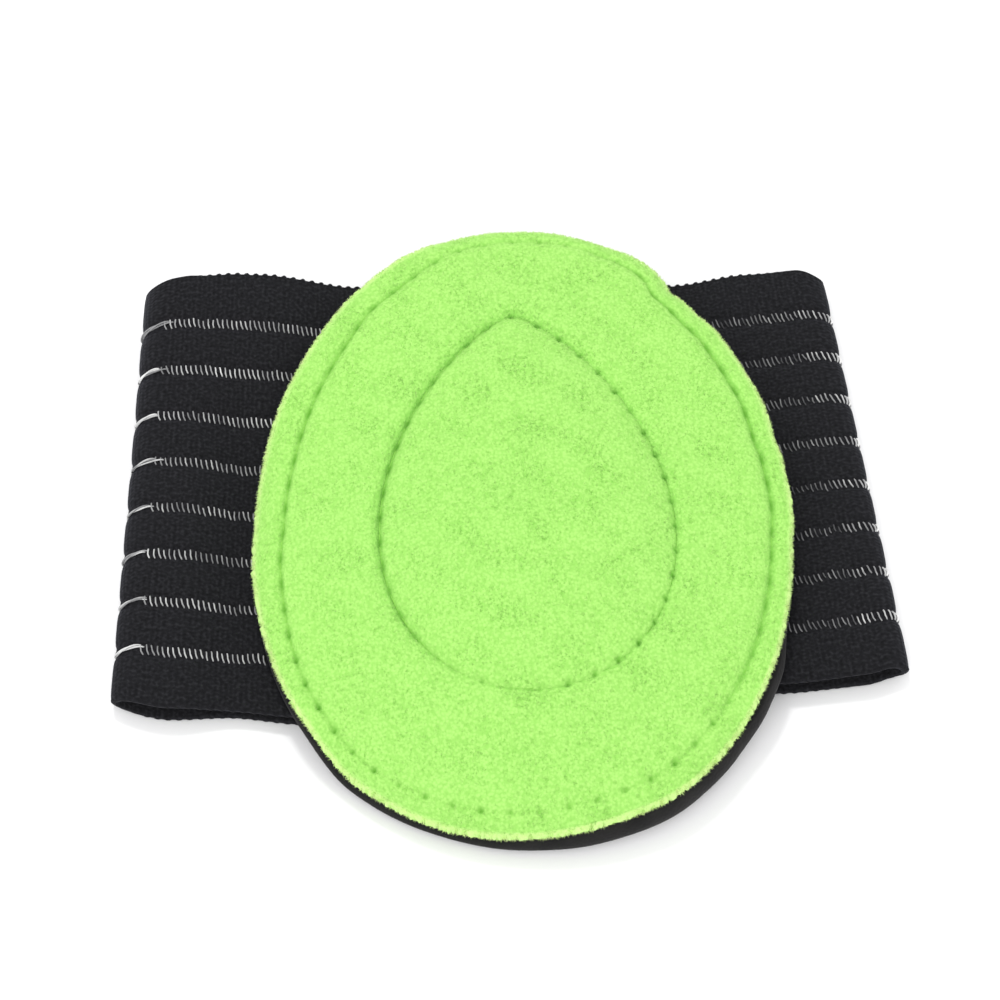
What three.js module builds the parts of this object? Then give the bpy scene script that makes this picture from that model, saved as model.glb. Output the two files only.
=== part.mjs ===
// Arch support sleeve: a padded disc sewn on the outside of an elastic loop that lies flattened on a table.
// Millimetres, +Z up. +X runs along the flattened loop, -Y is the near side, where the pad is widest.
import * as THREE from "three";

// Elastic loop
const bandWidth = 75;
const foldToFold = 117;
const wall = 1.4;
const bandLean = 4.5; // degrees that each fold line leans in towards the far side: the loop is a slight cone
const widthDrift = 0.023; // share by which the elastic is wider at the left fold, narrower at the right fold
const ribCount = 9;
const edgeRibWidth = 8.6; // the two outer ribs, a little wider than the others
const grooveWidth = 2.2;
const grooveDepth = 0.55;
const grooveFlank = 0.25;
const edgeBevel = 0.35;

// Inner height of the loop
const hollowGap = 4.6; // under the pad, where the foot goes in
const leftFoldGap = 6.0; // at the far edge, where the loop stands most open
const rightFoldGap = 2.6;
const padEdgeGap = 1.1; // where the pad's rim presses the loop flat

// Folds
const leftFoldReach = 4.4;
const rightFoldReach = 3.4;
const rightFoldDrift = 1.4; // how much further in the right fold lies at the far edge than at the near edge
const driftPower = 5; // the edges' own drift dies away over the edge ribs

// White filament in each groove
const stripeWidth = 1.6;
const stripeThickness = 0.2;

// Space kept between neighbours
const gap = 0.3;

// Pad outline
const padLength = 109.2;
const padWidth = 84.2;
const padTaper = 0.057; // the far end is narrower than the near end by this share
const padSquareness = 2.09; // 2 is an ellipse
const padAcross = 3.2; // pad's middle from the loop's middle, along X
const padAlong = -7.75; // and along Y
const padTurn = 0.8; // degrees clockwise
const flangeWidth = 3.3; // rim to the outer line of stitches, where the rim's table does not say more
const flangeThickness = 1.9;
const seamThickness = 2.2;

// Raised cushion inside the inner line of stitches, with its point at the far end
const dropLength = 67.3;
const dropWidth = 53.1;
const dropPoint = 0.48;
const crownLength = 52; // the crown inside it is an oval without a point
const crownWidth = 42;
const dropAcross = 3.5;
const dropAlong = -6.7;
const dropTurn = -0.9;
const crownRise = 3.2;
const stitchSink = 0.7;

// Heights of the pad
const padThickness = 6.6; // of the cover and its filling, at the crown
const backingWall = 1.1;
const rimLift = 4.6; // underside of the rim above the table, where no other value says more
const rimDepth = 6.0; // deepest visible edge of the backing, at the near right
const rimBulge = 0.9; // how far that edge stands out past the green rim
const seamHeight = 11.4; // outer stitches above the table
const overhang = 3.5; // how far past the loop's edges the pad stays up
const rimOverhang = 1.4; // and its rim
const drapeLength = 7; // and over which length it then comes down to the table
const underRise = 2.4; // dome of the pad's underside where it lies on the table

const middleRadius = foldToFold / 2 / Math.sin(THREE.MathUtils.degToRad(bandLean));
const halfLoop = middleRadius * THREE.MathUtils.degToRad(bandLean);
const hollowTop = 2 * wall + hollowGap;

// Inner height of the loop from its left fold to its right fold. along is the share of half the loop's
// length. far, middle and near are shares of the named height at the two edges and the middle line.
const heightRows = [
  { along: -1.0, height: leftFoldGap, far: 1.0, middle: 0.66, near: 0.45 },
  { along: -0.86, height: leftFoldGap, far: 1.0, middle: 0.66, near: 0.45 },
  { along: -0.68, height: leftFoldGap, far: 0.85, middle: 0.22, near: 0.14 },
  { along: -0.42, height: padEdgeGap, far: 1.4, middle: 1.2, near: 1.2 },
  { along: -0.2, height: hollowGap, far: 1.0, middle: 1.0, near: 1.0 },
  { along: 0.27, height: hollowGap, far: 1.0, middle: 1.0, near: 1.0 },
  { along: 0.54, height: padEdgeGap, far: 1.2, middle: 1.3, near: 1.6 },
  { along: 0.76, height: padEdgeGap, far: 1.2, middle: 1.4, near: 1.8 },
  { along: 0.9, height: rightFoldGap, far: 0.8, middle: 0.85, near: 0.9 },
  { along: 1.0, height: rightFoldGap, far: 0.8, middle: 0.85, near: 0.9 },
];

// How the elastic leaves its straight width. narrow is a share of the whole width. far and near are
// the millimetres that the two edges stand out by themselves.
const edgeRows = [
  { along: -1.0, narrow: 0.03, far: -0.2, near: 0.2 },
  { along: -0.86, narrow: 0.015, far: 0.7, near: 1.0 },
  { along: -0.72, narrow: 0, far: 1.1, near: 0.1 },
  { along: -0.5, narrow: 0, far: 1.4, near: 1.5 },
  { along: -0.2, narrow: 0, far: 0, near: 0 },
  { along: 0.35, narrow: 0, far: 0, near: 0 },
  { along: 0.55, narrow: 0, far: -0.4, near: 0.6 },
  { along: 0.75, narrow: 0, far: 0.8, near: 1.2 },
  { along: 0.9, narrow: 0, far: 0.5, near: 1.2 },
  { along: 1.0, narrow: 0.012, far: -0.8, near: 0.6 },
];

// Rim of the pad, clockwise from its far end. foot is a share of rimLift, depth of rimDepth, bulge of
// rimBulge, seam of seamHeight and flange of flangeWidth.
const rimRows = [
  { turn: 0, foot: 1.0, depth: 0.22, bulge: 0, seam: 1.0, flange: 1.2 },
  { turn: 60, foot: 1.0, depth: 0.22, bulge: 0, seam: 1.0, flange: 1.15 },
  { turn: 105, foot: 1.1, depth: 0.25, bulge: 0.2, seam: 1.0, flange: 0.95 },
  { turn: 132, foot: 0.4, depth: 0.66, bulge: 0.8, seam: 0.95, flange: 1.3 },
  { turn: 157, foot: 0.0, depth: 1.12, bulge: 1.2, seam: 0.87, flange: 1.05 },
  { turn: 180, foot: 0.0, depth: 0.52, bulge: 0.7, seam: 0.73, flange: 0.95 },
  { turn: 200, foot: 0.0, depth: 0.44, bulge: 0.8, seam: 0.64, flange: 0.8 },
  { turn: 228, foot: 0.0, depth: 0.46, bulge: 0.8, seam: 0.77, flange: 0.7 },
  { turn: 250, foot: 0.9, depth: 0.27, bulge: 0.2, seam: 0.92, flange: 1.2 },
  { turn: 275, foot: 0.95, depth: 0.22, bulge: 0, seam: 0.98, flange: 1.55 },
  { turn: 310, foot: 1.0, depth: 0.22, bulge: 0, seam: 1.0, flange: 1.65 },
  { turn: 360, foot: 1.0, depth: 0.22, bulge: 0, seam: 1.0, flange: 1.2 },
];

function ease(share) {
  const held = Math.min(1, Math.max(0, share));
  return held * held * (3 - 2 * held);
}

// Value between the rows of a table, eased from each row to the next
function between(rows, key, place, value) {
  const last = rows.findIndex((row) => row[key] >= place);
  if (last <= 0) return value(rows[last === 0 ? 0 : rows.length - 1]);
  const low = rows[last - 1];
  const high = rows[last];
  const share = ease((place - low[key]) / (high[key] - low[key]));
  return value(low) * (1 - share) + value(high) * share;
}

// Inner height of the loop at a length along its middle line. side is -1 at the far edge, 1 at the near edge.
function innerHeight(length, side) {
  const edge = side < 0 ? "far" : "near";
  const share = ease(Math.abs(side));
  return between(heightRows, "along", length / halfLoop, (row) =>
    row.height * (row.middle * (1 - share) + row[edge] * share));
}

const widening = (length) => 1 - (widthDrift * length) / halfLoop;

// Distance by which a place across the elastic is moved towards the near side
function drift(length, across) {
  const side = across / (bandWidth / 2);
  const edge = side < 0 ? "far" : "near";
  const out = Math.sign(side) * Math.min(1, Math.abs(side)) ** driftPower;
  return between(edgeRows, "along", length / halfLoop, (row) => row[edge] * out - row.narrow * across);
}

// Point on the flattened cone from its length along the middle line and its distance towards the near side
function onLoop(length, across, height) {
  const angle = length / middleRadius;
  const radius = middleRadius + (across + drift(length, across)) * widening(length);
  return new THREE.Vector3(radius * Math.sin(angle), middleRadius - radius * Math.cos(angle), height);
}

// Middle of the elastic's wall once round the loop: lower layer, right fold, upper layer, left fold
const lowerSteps = 7;
const upperSteps = 22;
const foldSteps = 8;

function wallMiddle(side) {
  const points = [];
  const leftEnd = -halfLoop + leftFoldReach;
  const rightEnd = halfLoop - rightFoldReach - (rightFoldDrift * (1 - side)) / 2;
  const floorMiddle = wall / 2;
  for (let step = 0; step < lowerSteps; step += 1) {
    points.push([THREE.MathUtils.lerp(leftEnd, rightEnd, step / lowerSteps), floorMiddle]);
  }
  const rightHalf = (innerHeight(rightEnd, side) + wall) / 2;
  for (let step = 0; step < foldSteps; step += 1) {
    const angle = -Math.PI / 2 + (Math.PI * step) / foldSteps;
    const height = floorMiddle + rightHalf * (1 + Math.sin(angle));
    points.push([rightEnd + rightFoldReach * Math.cos(angle), height]);
  }
  for (let step = 0; step < upperSteps; step += 1) {
    const length = THREE.MathUtils.lerp(rightEnd, leftEnd, step / upperSteps);
    points.push([length, floorMiddle + innerHeight(length, side) + wall]);
  }
  const leftHalf = (innerHeight(leftEnd, side) + wall) / 2;
  for (let step = 0; step < foldSteps; step += 1) {
    const angle = Math.PI / 2 + (Math.PI * step) / foldSteps;
    const height = floorMiddle + leftHalf * (1 + Math.sin(angle));
    points.push([leftEnd + leftFoldReach * Math.cos(angle), height]);
  }
  return points;
}

// A closed section carried once round the loop. Each of its points has a place across the elastic, from
// the far edge, and a depth under the elastic's outer face.
function roundTheLoop(section) {
  const columns = section.map(([place, depth]) => {
    const across = place - bandWidth / 2;
    const middle = wallMiddle(across / (bandWidth / 2));
    const count = middle.length;
    return middle.map(([length, height], index) => {
      const [lastLength, lastHeight] = middle[(index + count - 1) % count];
      const [nextLength, nextHeight] = middle[(index + 1) % count];
      const span = Math.hypot(nextLength - lastLength, nextHeight - lastHeight);
      const out = wall / 2 - depth;
      const outLength = ((nextHeight - lastHeight) / span) * out;
      const outHeight = (-(nextLength - lastLength) / span) * out;
      return onLoop(length + outLength, across, height + outHeight);
    });
  });
  const rings = columns[0].map((_, station) => columns.map((column) => column[station]));
  rings.push(rings[0]);
  return closedSkin(rings, false);
}

// Triangles between rings of as many points each, with the shorter diagonal across each gap. Rings turn
// so that faces point out. With caps, the first and last rings are single points.
function closedSkin(rings, capped) {
  const positions = [];
  const triangle = (a, b, c) => {
    for (const point of [a, b, c]) positions.push(point.x, point.y, point.z);
  };
  for (let index = 0; index + 1 < rings.length; index += 1) {
    const ring = rings[index];
    const next = rings[index + 1];
    const count = Math.max(ring.length, next.length);
    for (let step = 0; step < count; step += 1) {
      const after = (step + 1) % count;
      if (capped && ring.length === 1) {
        triangle(ring[0], next[step], next[after]);
      } else if (capped && next.length === 1) {
        triangle(ring[step], next[0], ring[after]);
      } else if (ring[step].distanceToSquared(next[after]) < ring[after].distanceToSquared(next[step])) {
        triangle(ring[step], next[step], next[after]);
        triangle(ring[step], next[after], ring[after]);
      } else {
        triangle(ring[step], next[step], ring[after]);
        triangle(ring[after], next[step], next[after]);
      }
    }
  }
  const geometry = new THREE.BufferGeometry();
  geometry.setAttribute("position", new THREE.Float32BufferAttribute(positions, 3));
  geometry.computeVertexNormals();
  return geometry;
}

const ribPitch = (bandWidth - 2 * edgeRibWidth) / (ribCount - 2);
const grooveMiddle = (groove) => edgeRibWidth + (groove - 1) * ribPitch;
const grooveMouth = grooveWidth + 2 * grooveFlank;

// Ribs and the grooves between them on the outside, flat inside, all edges bevelled
function elasticSection() {
  const section = [[0, edgeBevel], [edgeBevel, 0]];
  for (let groove = 1; groove < ribCount; groove += 1) {
    const middle = grooveMiddle(groove);
    section.push([middle - grooveMouth / 2, 0]);
    section.push([middle - grooveWidth / 2, grooveDepth]);
    section.push([middle + grooveWidth / 2, grooveDepth]);
    section.push([middle + grooveMouth / 2, 0]);
  }
  section.push([bandWidth - edgeBevel, 0], [bandWidth, edgeBevel]);
  section.push([bandWidth, wall - edgeBevel], [bandWidth - edgeBevel, wall]);
  for (const share of [0.75, 0.5, 0.25]) section.push([bandWidth * share, wall]);
  section.push([edgeBevel, wall], [0, wall - edgeBevel]);
  return section;
}

// Flat filament that lies in a groove, clear of its floor
function stripeSection(groove) {
  const far = grooveMiddle(groove) - stripeWidth / 2;
  const near = far + stripeWidth;
  const floor = grooveDepth - gap;
  const top = floor - stripeThickness;
  return [[far, floor], [far, top], [near, top], [near, floor]];
}

// Closed outlines seen from above. turn runs clockwise from the far end.
function turned(x, y, middleX, middleY, degrees) {
  const angle = THREE.MathUtils.degToRad(degrees);
  return new THREE.Vector2(
    middleX + x * Math.cos(angle) + y * Math.sin(angle),
    middleY - x * Math.sin(angle) + y * Math.cos(angle),
  );
}

function rimPoint(turn) {
  const angle = THREE.MathUtils.degToRad(turn);
  const along = Math.sign(Math.cos(angle)) * Math.abs(Math.cos(angle)) ** (2 / padSquareness);
  const across = Math.sign(Math.sin(angle)) * Math.abs(Math.sin(angle)) ** (2 / padSquareness);
  const x = (padWidth / 2) * across * (1 - padTaper * along);
  return turned(x, (padLength / 2) * along, padAcross, padAlong, padTurn);
}

function dropPointAt(turn) {
  const angle = THREE.MathUtils.degToRad(turn);
  const x = (dropWidth / 2) * Math.sin(angle) * Math.abs(Math.sin(angle / 2)) ** dropPoint;
  return turned(x, (dropLength / 2) * Math.cos(angle), dropAcross, dropAlong, dropTurn);
}

// Point of the rim moved inwards, square to the rim
function insidePoint(turn, inset) {
  const here = rimPoint(turn);
  const along = rimPoint(turn + 1).sub(rimPoint(turn - 1)).normalize();
  return new THREE.Vector2(here.x + along.y * inset, here.y - along.x * inset);
}

// Where a point lies on the loop, and how much the loop still lifts the pad there past the loop's edges
function placeOnLoop(point, stayUp) {
  const length = middleRadius * Math.atan2(point.x, middleRadius - point.y);
  const seen = (Math.hypot(point.x, middleRadius - point.y) - middleRadius) / widening(length);
  const across = seen - drift(length, seen);
  const past = Math.abs(across) - bandWidth / 2 - stayUp;
  return { length, side: across / (bandWidth / 2), cover: 1 - ease(past / drapeLength) };
}

// Height that clears the loop's upper face by a named space
function clearOfLoop(point, space, stayUp) {
  const place = placeOnLoop(point, stayUp);
  return (2 * wall + innerHeight(place.length, place.side) + space) * place.cover;
}

// A column of the rim's table, evened out over some degrees to each side
function rimShare(turn, column) {
  const spread = [-18, -9, 0, 9, 18].map((degrees) => (turn + degrees + 360) % 360);
  const shares = spread.map((place) => between(rimRows, "turn", place, (row) => row[column]));
  return shares.reduce((sum, share) => sum + share, 0) / shares.length;
}

const seatGap = 2 * gap; // the pad's underside bows between its rows of points, so it starts this far clear
const centreUnder = hollowTop + seatGap + backingWall + gap;
const crownTop = centreUnder + padThickness;
const dropTop = crownTop - crownRise;

// Rings of the pad. Each lies between the rim (0), the outer stitches (1), the inner stitches (2) and the
// middle (3). swell says how far its top stands between the levels of the lines on its two sides.
const topRings = [
  { ring: 2.62, swell: 0.93 },
  { ring: 2.3, swell: 0.66 },
  { ring: 2.08, swell: 0.3 },
  { ring: 2.0, swell: 0 },
  { ring: 1.9, swell: 0.1 },
  { ring: 1.7, swell: 0.36 },
  { ring: 1.45, swell: 0.68 },
  { ring: 1.2, swell: 0.9 },
  { ring: 1.0, swell: 1 },
  { ring: 0.72, swell: 0.2 },
  { ring: 0.14, swell: 0.95 },
];
const lowerRings = [0.45, 1.0, 1.25, 1.5, 1.75, 2.0, 2.45];
const riseRings = 1.5; // rings over which the underside rises from its foot and the backing thins out
const flatRings = 0.3; // rings at the rim before that rise starts
const rimTuck = 0.1; // share of the flange by which the cover's lower edge is tucked in
const footTuck = 0.15; // and the backing's foot
const bulgeLevel = 0.4; // share of the backing's edge below its widest line
const evenOver = [-4, -2, 0, 2, 4]; // degrees to each side over which the rim's height is evened out

function ringPoint(turn, ring) {
  const drop = dropPointAt(turn);
  if (ring >= 2) {
    const angle = THREE.MathUtils.degToRad(turn);
    const oval = turned(
      crownWidth / 2 * Math.sin(angle), crownLength / 2 * Math.cos(angle), dropAcross, dropAlong, dropTurn);
    const middle = new THREE.Vector2(dropAcross, dropAlong);
    return drop.lerp(oval, ease(ring - 2)).lerp(middle, ring - 2);
  }
  const flange = flangeWidth * rimShare(turn, "flange");
  const seam = insidePoint(turn, flange);
  if (ring >= 1) return seam.clone().lerp(drop, ring - 1);
  return insidePoint(turn, flange * ring);
}

function leastFoot(turn) {
  return Math.max(rimLift * rimShare(turn, "foot"), clearOfLoop(rimPoint(turn), gap, rimOverhang));
}

// Underside of the rim. The pad is stiffer than the elastic, so the rim bends gently where it passes the
// elastic's edges and stays over its least height there.
function rimFoot(turn) {
  const highest = evenOver.map((aside) => {
    return Math.max(...evenOver.map((more) => leastFoot(turn + aside + more)));
  });
  return highest.reduce((sum, height) => sum + height, 0) / highest.length;
}

// Underside of the backing, of the cover, and the top of the cover
function backingUnder(turn, ring) {
  const point = ringPoint(turn, ring);
  const foot = rimFoot(turn);
  if (ring === 0) return foot;
  const { cover } = placeOnLoop(point, overhang);
  const dome = THREE.MathUtils.lerp(Math.max(foot, underRise), hollowTop + seatGap, cover);
  const raised = THREE.MathUtils.lerp(foot, dome, ease((ring - flatRings) / riseRings));
  return Math.max(raised, clearOfLoop(point, seatGap, overhang));
}

function coverUnder(turn, ring) {
  const depth = Math.max(backingWall, rimDepth * rimShare(turn, "depth"));
  return backingUnder(turn, ring) + THREE.MathUtils.lerp(depth, backingWall, ease(ring / riseRings)) + gap;
}

function coverTop(turn, ring, swell) {
  if (ring >= 2) return dropTop - stitchSink + (crownRise + stitchSink) * swell;
  const seamTop = Math.max(seamHeight * rimShare(turn, "seam"), coverUnder(turn, 1) + seamThickness);
  if (ring >= 1) return THREE.MathUtils.lerp(dropTop, seamTop, swell) - (ring === 1 ? stitchSink : 0);
  return THREE.MathUtils.lerp(seamTop, coverUnder(turn, 0) + flangeThickness, swell);
}

const spokeCount = 64;
const turns = Array.from({ length: spokeCount }, (_, index) => (360 * index) / spokeCount);
const ringOf = (make) => turns.map(make).reverse();

function raise(point, height) {
  return new THREE.Vector3(point.x, point.y, height);
}

function coverSkin() {
  const rings = [[new THREE.Vector3(dropAcross, dropAlong, crownTop)]];
  for (const row of topRings) {
    rings.push(ringOf((turn) => raise(ringPoint(turn, row.ring), coverTop(turn, row.ring, row.swell))));
  }
  rings.push(ringOf((turn) => raise(rimPoint(turn), coverUnder(turn, 0) + flangeThickness / 2)));
  rings.push(ringOf((turn) => raise(insidePoint(turn, flangeWidth * rimTuck), coverUnder(turn, 0))));
  for (const ring of lowerRings) {
    rings.push(ringOf((turn) => raise(ringPoint(turn, ring), coverUnder(turn, ring))));
  }
  rings.push([new THREE.Vector3(dropAcross, dropAlong, centreUnder)]);
  return closedSkin(rings, true);
}

function backingSkin() {
  const rings = [[new THREE.Vector3(dropAcross, dropAlong, centreUnder - gap)]];
  for (const ring of [...lowerRings].reverse()) {
    rings.push(ringOf((turn) => raise(ringPoint(turn, ring), coverUnder(turn, ring) - gap)));
  }
  rings.push(ringOf((turn) => raise(insidePoint(turn, flangeWidth * rimTuck), coverUnder(turn, 0) - gap)));
  rings.push(ringOf((turn) => raise(insidePoint(turn, -rimBulge * rimShare(turn, "bulge")),
    THREE.MathUtils.lerp(backingUnder(turn, 0), coverUnder(turn, 0) - gap, bulgeLevel))));
  rings.push(ringOf((turn) => raise(insidePoint(turn, flangeWidth * footTuck), backingUnder(turn, 0))));
  for (const ring of lowerRings) {
    rings.push(ringOf((turn) => raise(ringPoint(turn, ring), backingUnder(turn, ring))));
  }
  rings.push([new THREE.Vector3(dropAcross, dropAlong, hollowTop + seatGap)]);
  return closedSkin(rings, true);
}

const elasticMaterial = new THREE.MeshStandardMaterial({ color: 0x1c1c22, roughness: 0.9, metalness: 0 });
const filamentMaterial = new THREE.MeshStandardMaterial({ color: 0xe8e8e6, roughness: 0.5, metalness: 0 });
const fleeceMaterial = new THREE.MeshStandardMaterial({ color: 0xa6f268, roughness: 0.95, metalness: 0 });
const backingMaterial = new THREE.MeshStandardMaterial({ color: 0x29272b, roughness: 0.85, metalness: 0 });

const sleeve = new THREE.Group();

function addPiece(name, geometry, material) {
  const mesh = new THREE.Mesh(geometry, material);
  mesh.name = name;
  sleeve.add(mesh);
}

addPiece("elastic_band", roundTheLoop(elasticSection()), elasticMaterial);
for (let groove = 1; groove < ribCount; groove += 1) {
  addPiece(`stripe_${groove}`, roundTheLoop(stripeSection(groove)), filamentMaterial);
}
addPiece("pad_backing", backingSkin(), backingMaterial);
addPiece("pad_cover", coverSkin(), fleeceMaterial);

// The origin is under the middle of the whole sleeve, on the table
const extent = new THREE.Box3().setFromObject(sleeve);
const middle = extent.getCenter(new THREE.Vector3());
sleeve.position.set(-middle.x, -middle.y, -extent.min.z);

const part = new THREE.Group();
part.add(sleeve);
export default part;
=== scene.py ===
import math

import bpy
import numpy as np
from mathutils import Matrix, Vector


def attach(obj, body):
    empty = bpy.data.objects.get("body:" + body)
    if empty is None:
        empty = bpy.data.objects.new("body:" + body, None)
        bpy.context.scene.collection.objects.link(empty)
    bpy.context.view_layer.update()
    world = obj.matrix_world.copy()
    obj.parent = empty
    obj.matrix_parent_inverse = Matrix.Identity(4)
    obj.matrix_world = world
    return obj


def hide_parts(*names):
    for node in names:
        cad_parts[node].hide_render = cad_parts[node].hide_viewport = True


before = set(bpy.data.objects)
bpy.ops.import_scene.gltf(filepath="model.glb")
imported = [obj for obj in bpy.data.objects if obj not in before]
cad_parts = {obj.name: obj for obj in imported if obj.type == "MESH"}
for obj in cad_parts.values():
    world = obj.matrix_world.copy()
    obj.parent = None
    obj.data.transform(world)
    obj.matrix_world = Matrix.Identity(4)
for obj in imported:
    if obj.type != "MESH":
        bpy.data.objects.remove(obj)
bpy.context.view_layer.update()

SEED = 7
draws = np.random.default_rng(SEED)

# The source centres the whole sleeve over its origin; this is the same move
ORIGIN_X = 0.0296268
ORIGIN_Y = 8.1323624
MM = 0.001

# Elastic loop, as in the part's source
BAND_WIDTH = 75.0
FOLD_TO_FOLD = 117.0
WALL = 1.4
BAND_LEAN = math.radians(4.5)
WIDTH_DRIFT = 0.023
RIB_COUNT = 9
EDGE_RIB_WIDTH = 8.6
GROOVE_WIDTH = 2.2
HOLLOW_GAP = 4.6
LEFT_FOLD_GAP = 6.0
RIGHT_FOLD_GAP = 2.6
PAD_EDGE_GAP = 1.1
LEFT_FOLD_REACH = 4.4
RIGHT_FOLD_REACH = 3.4
RIGHT_FOLD_DRIFT = 1.4
DRIFT_POWER = 5
GAP = 0.3

# Pad outline, as in the part's source
PAD_LENGTH = 109.2
PAD_WIDTH = 84.2
PAD_TAPER = 0.057
PAD_SQUARENESS = 2.09
PAD_ACROSS = 3.2
PAD_ALONG = -7.75
PAD_TURN = 0.8
FLANGE_WIDTH = 3.3
FLANGE_THICKNESS = 1.9
SEAM_THICKNESS = 2.2
DROP_LENGTH = 67.3
DROP_WIDTH = 53.1
DROP_POINT = 0.48
CROWN_LENGTH = 52.0
CROWN_WIDTH = 42.0
DROP_ACROSS = 3.5
DROP_ALONG = -6.7
DROP_TURN = -0.9
CROWN_RISE = 3.2
PAD_THICKNESS = 6.6
BACKING_WALL = 1.1
RIM_LIFT = 4.6
RIM_DEPTH = 6.0
RIM_BULGE = 0.9
SEAM_HEIGHT = 11.4
OVERHANG = 3.5
RIM_OVERHANG = 1.4
DRAPE_LENGTH = 7.0
UNDER_RISE = 2.4
RISE_RINGS = 1.5
FLAT_RINGS = 0.3

MIDDLE_RADIUS = FOLD_TO_FOLD / 2 / math.sin(BAND_LEAN)
HALF_LOOP = MIDDLE_RADIUS * BAND_LEAN
HOLLOW_TOP = 2 * WALL + HOLLOW_GAP
SEAT_GAP = 2 * GAP
CENTRE_UNDER = HOLLOW_TOP + SEAT_GAP + BACKING_WALL + GAP
CROWN_TOP = CENTRE_UNDER + PAD_THICKNESS
DROP_TOP = CROWN_TOP - CROWN_RISE
RIB_PITCH = (BAND_WIDTH - 2 * EDGE_RIB_WIDTH) / (RIB_COUNT - 2)
LOWER_LENGTH = FOLD_TO_FOLD - LEFT_FOLD_REACH - RIGHT_FOLD_REACH
LEFT_FOLD_ROUND = math.pi * (LEFT_FOLD_REACH + (LEFT_FOLD_GAP + WALL) / 2) / 2
RIGHT_FOLD_ROUND = math.pi * (RIGHT_FOLD_REACH + (RIGHT_FOLD_GAP + WALL) / 2) / 2
# How far each corner of the folds is rounded off; with a minus it stands out
LEFT_ROUNDING, RIGHT_ROUNDING, NEAR_LEFT_ROUNDING, NEAR_RIGHT_ROUNDING = 0.9, 0.2, 0.3, -0.7
ROUNDING_POWER = 12
LEAST_LENGTH = 1e-9

# Inner height of the loop: share of half its length, height, shares of it at the far edge, middle, near edge
HEIGHT_ROWS = np.array([
    [-1.0, LEFT_FOLD_GAP, 1.0, 0.66, 0.45],
    [-0.86, LEFT_FOLD_GAP, 1.0, 0.66, 0.45],
    [-0.68, LEFT_FOLD_GAP, 0.85, 0.22, 0.14],
    [-0.42, PAD_EDGE_GAP, 1.4, 1.2, 1.2],
    [-0.2, HOLLOW_GAP, 1.0, 1.0, 1.0],
    [0.27, HOLLOW_GAP, 1.0, 1.0, 1.0],
    [0.54, PAD_EDGE_GAP, 1.2, 1.3, 1.6],
    [0.76, PAD_EDGE_GAP, 1.2, 1.4, 1.8],
    [0.9, RIGHT_FOLD_GAP, 0.8, 0.85, 0.9],
    [1.0, RIGHT_FOLD_GAP, 0.8, 0.85, 0.9],
])

# Elastic's width: share of half its length, share of the width lost, millimetres out at the far and near edge
EDGE_ROWS = np.array([
    [-1.0, 0.03, -0.2, 0.2],
    [-0.86, 0.015, 0.7, 1.0],
    [-0.72, 0, 1.1, 0.1],
    [-0.5, 0, 1.4, 1.5],
    [-0.2, 0, 0, 0],
    [0.35, 0, 0, 0],
    [0.55, 0, -0.4, 0.6],
    [0.75, 0, 0.8, 1.2],
    [0.9, 0, 0.5, 1.2],
    [1.0, 0.012, -0.8, 0.6],
])

# Rim of the pad, clockwise from its far end: turn, then shares of rim lift, rim depth, rim bulge, seam height
# and flange width
RIM_ROWS = np.array([
    [0, 1.0, 0.22, 0.0, 1.0, 1.2],
    [60, 1.0, 0.22, 0.0, 1.0, 1.15],
    [105, 1.1, 0.25, 0.2, 1.0, 0.95],
    [132, 0.4, 0.66, 0.8, 0.95, 1.3],
    [157, 0.0, 1.12, 1.2, 0.87, 1.05],
    [180, 0.0, 0.52, 0.7, 0.73, 0.95],
    [200, 0.0, 0.44, 0.8, 0.64, 0.8],
    [228, 0.0, 0.46, 0.8, 0.77, 0.7],
    [250, 0.9, 0.27, 0.2, 0.92, 1.2],
    [275, 0.95, 0.22, 0.0, 0.98, 1.55],
    [310, 1.0, 0.22, 0.0, 1.0, 1.65],
    [360, 1.0, 0.22, 0.0, 1.0, 1.2],
])
FOOT, DEPTH, BULGE, SEAM, FLANGE = 1, 2, 3, 4, 5

# Fine run of the cut rim: turn, millimetres further out than the smooth outline
RIM_TRIM = np.array([
    [0, -0.45], [12, -0.3], [22, -0.15], [27, 0.2], [31, 0.25], [34, 0.25], [37, -0.15], [40, -1.2],
    [44, -1.1], [48, -1.15], [51, -0.8], [54, -0.5], [57, -0.5], [64, -0.35], [70, 0.05], [74, -0.1],
    [78, -0.3], [81, 0.1], [84, 0.05], [88, 0.2], [92, 0.2], [97, -0.3], [108, -0.3], [126, 0], [150, 0.45],
    [168, -0.3], [188, -0.4], [206, -0.35], [222, 0.1], [240, 0.4], [252, 0.45], [262, 0.6], [270, 0.1],
    [282, -0.1], [290, -0.2], [306, -0.5], [318, -0.2], [325, -0.65], [330, -0.85], [335, -0.75],
    [342, -0.35], [360, -0.45],
])
# The flange on the right curls up past the notch where the two ends of its seam meet: turn, millimetres
FLANGE_LIFT = np.array([
    [0, 0.1], [22, -0.1], [38, -0.4], [44, 0.7], [54, 1.3], [68, 1.6], [92, 1.4], [118, 0.7], [145, 0.2],
    [180, 0.0], [230, 0.1], [262, 0.4], [300, 0.5], [335, 0.3], [360, 0.1],
])


def ease(share):
    held = np.clip(share, 0, 1)
    return held * held * (3 - 2 * held)


def mix(low, high, share):
    return low + (high - low) * share


def eased(places, values, at):
    """Values between table rows, eased from each row to the next."""
    last = np.clip(np.searchsorted(places, at), 1, len(places) - 1)
    share = ease((at - places[last - 1]) / (places[last] - places[last - 1]))
    return mix(values[last - 1], values[last], share)


def at_turn(table, turn, column=1):
    """Value of a table round the pad."""
    return eased(table[:, 0], table[:, column], turn % 360)


def unit(vectors):
    return vectors / np.maximum(np.linalg.norm(vectors, axis=-1, keepdims=True), LEAST_LENGTH)


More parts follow.
